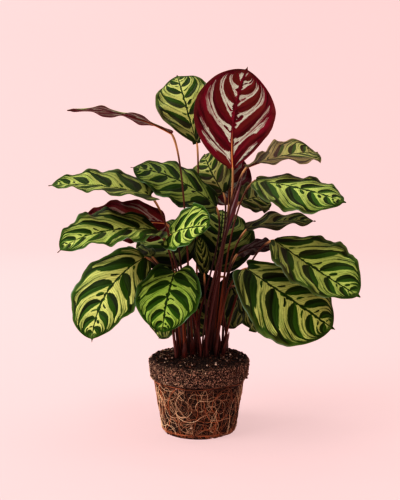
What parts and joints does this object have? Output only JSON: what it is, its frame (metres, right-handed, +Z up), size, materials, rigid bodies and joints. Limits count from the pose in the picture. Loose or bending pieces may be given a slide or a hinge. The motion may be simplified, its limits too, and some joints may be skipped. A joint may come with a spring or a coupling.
{
  "type": "peacock plant with bare root ball",
  "caption": "Leafy house plant with broad waved leaves on thin stalks, standing on a bare pot-shaped root ball wrapped in matted roots.",
  "frame": {"origin": "centre of the root ball's flat underside, which stands on the surface", "axes": "+Z up; -Y is the front that the picture shows, and +X is to its right"},
  "size_m": [0.3973, 0.2863, 0.4862],
  "materials": {
    "leaf": "satin",
    "stalk": "satin",
    "young_leaf": "satin",
    "soil": "matte",
    "roots": "matte"
  },
  "bodies": {
    "root": {"root_ball": "soil", "root_cage": "roots", "leaf_01_stalk": "stalk", "leaf_01_blade": "leaf", "leaf_02_stalk": "stalk", "leaf_02_blade": "leaf", "leaf_03_stalk": "stalk", "leaf_03_blade": "leaf", "leaf_04_stalk": "stalk", "leaf_04_blade": "leaf", "leaf_05_stalk": "stalk", "leaf_05_blade": "leaf", "leaf_06_stalk": "stalk", "leaf_06_blade": "leaf", "leaf_07_stalk": "stalk", "leaf_07_blade": "leaf", "leaf_08_stalk": "stalk", "leaf_08_blade": "leaf", "leaf_09_stalk": "stalk", "leaf_09_blade": "leaf", "leaf_10_stalk": "stalk", "leaf_10_blade": "leaf", "leaf_11_stalk": "stalk", "leaf_11_blade": "leaf", "leaf_12_stalk": "stalk", "leaf_12_blade": "leaf", "leaf_13_stalk": "stalk", "leaf_13_blade": "leaf", "leaf_14_stalk": "stalk", "leaf_14_blade": "leaf", "leaf_15_stalk": "stalk", "leaf_15_blade": "leaf", "leaf_16_stalk": "stalk", "leaf_16_blade": "leaf", "leaf_17_stalk": "stalk", "leaf_17_blade": "leaf", "leaf_18_stalk": "stalk", "leaf_18_blade": "leaf", "leaf_19_stalk": "stalk", "leaf_19_blade": "leaf", "leaf_20_stalk": "stalk", "leaf_20_blade": "leaf", "leaf_21_stalk": "stalk", "leaf_21_blade": "leaf", "leaf_22_stalk": "stalk", "leaf_22_blade": "leaf", "leaf_23_stalk": "stalk", "leaf_23_blade": "leaf", "leaf_24_stalk": "stalk", "leaf_24_blade": "leaf", "leaf_25_stalk": "stalk", "leaf_25_blade": "leaf", "leaf_26_stalk": "stalk", "leaf_26_blade": "leaf", "leaf_27_stalk": "stalk", "leaf_27_blade": "leaf", "leaf_28_stalk": "stalk", "leaf_28_blade": "leaf", "young_leaf_roll": "young_leaf"}
  },
  "joints": []
}
